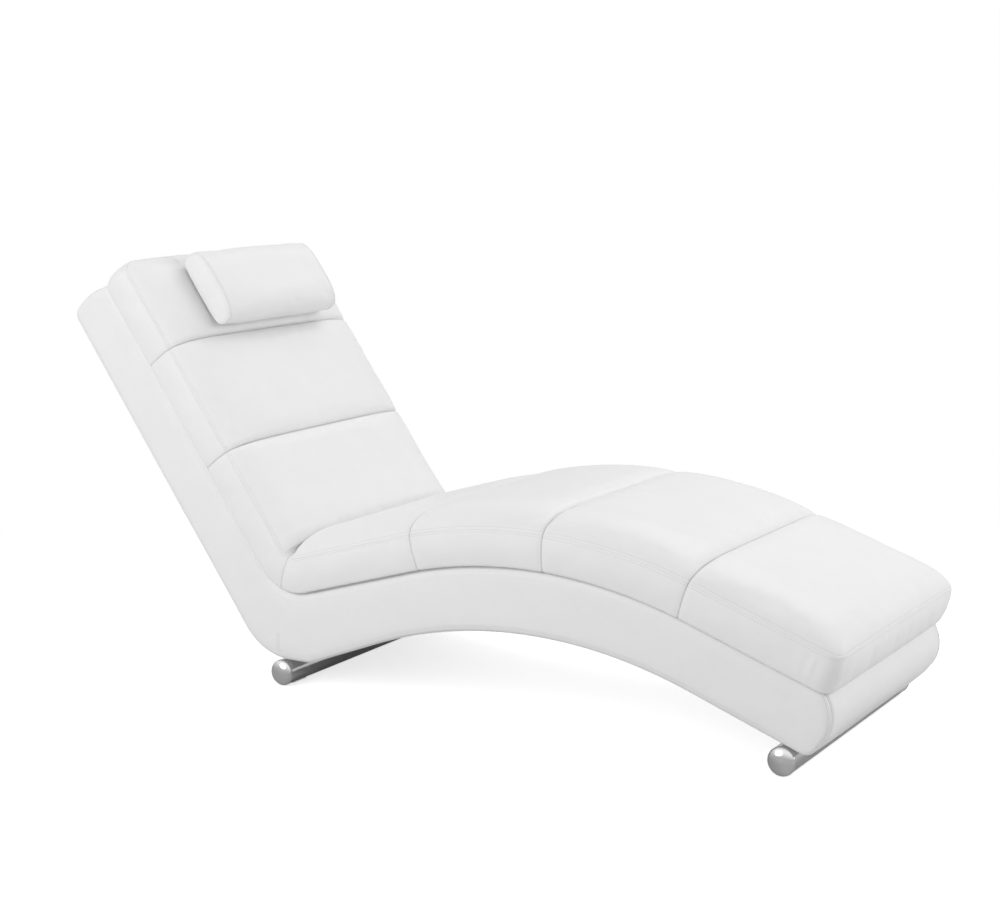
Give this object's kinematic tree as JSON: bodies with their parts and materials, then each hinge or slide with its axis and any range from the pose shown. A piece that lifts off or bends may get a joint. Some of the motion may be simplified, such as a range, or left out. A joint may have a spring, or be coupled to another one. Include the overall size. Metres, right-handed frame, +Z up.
{
  "type": "spa relaxation lounger",
  "caption": "Upholstered S-shaped lounger with a raised back, a crowned mat in sewn panels, a sliding neck pillow and round cross tubes for feet.",
  "frame": {"origin": "on the floor under the middle of the lounger's length and width", "axes": "+X from the head end to the foot end, +Y to the left of a person lying on it, +Z up"},
  "size_m": [1.681, 0.564, 0.8339],
  "materials": {
    "leather": "satin",
    "foam": "matte",
    "timber": "matte",
    "webbing": "matte",
    "chrome": "polished",
    "cap": "polished",
    "saddle": "matte",
    "zinc": "satin",
    "weight": "matte",
    "glide": "satin",
    "lining": "matte",
    "grip": "matte"
  },
  "bodies": {
    "lounger": {"ankle_rail": "timber", "arch_cover": "leather", "arch_wadding": "foam", "back_cover": "leather", "back_foam_core": "foam", "back_wadding": "foam", "back_webbing": "webbing", "calf_rail": "timber", "corner_blocks": "timber", "crease_rail": "timber", "deck_cover": "leather", "deck_wadding": "foam", "flap": "leather", "floor_glides": "glide", "foot_bolts": "zinc", "foot_nuts": "zinc", "front_tube": "chrome", "grip_strips": "grip", "head_cover": "leather", "head_rail": "timber", "head_wadding": "foam", "heel_block": "timber", "lumbar_rail": "timber", "mat_lining": "lining", "mat_panel_foot": "leather", "mat_panel_head": "leather", "mat_panel_knee": "leather", "mat_panel_lumbar": "leather", "mat_panel_seat": "leather", "mat_panel_shoulder": "leather", "mat_panel_thigh": "leather", "nose_cover": "leather", "nose_rail": "timber", "nose_wadding": "foam", "rear_tube": "chrome", "seat_foam_core": "foam", "seat_rail": "timber", "seat_webbing": "webbing", "shoulder_rail": "timber", "side_cover_left": "leather", "side_cover_right": "leather", "side_panel_left": "timber", "side_panel_right": "timber", "side_wadding_left": "foam", "side_wadding_right": "foam", "thigh_rail": "timber", "toe_block": "timber", "tube_end_caps": "cap", "tube_saddles": "saddle"},
    "pillow": {"pillow_cover": "leather", "pillow_foam": "foam", "pillow_ends": "leather"},
    "counterweight": {"counterweight_tail": "leather", "counterweight_pouch": "leather", "counterweight_bar": "weight"}
  },
  "joints": [
    {"name": "pillow_slide", "type": "slide", "parent": "lounger", "child": "pillow", "axis": [0.5736, 0, -0.8192], "range_m": [0, 0.11]},
    {"name": "counterweight_slide", "type": "slide", "parent": "lounger", "child": "counterweight", "axis": [-0.5736, 0, 0.8192], "range_m": [0, 0.11]}
  ],
  "couplings": [
    {"joint": "counterweight_slide", "follows": "pillow_slide", "ratio": 1}
  ]
}
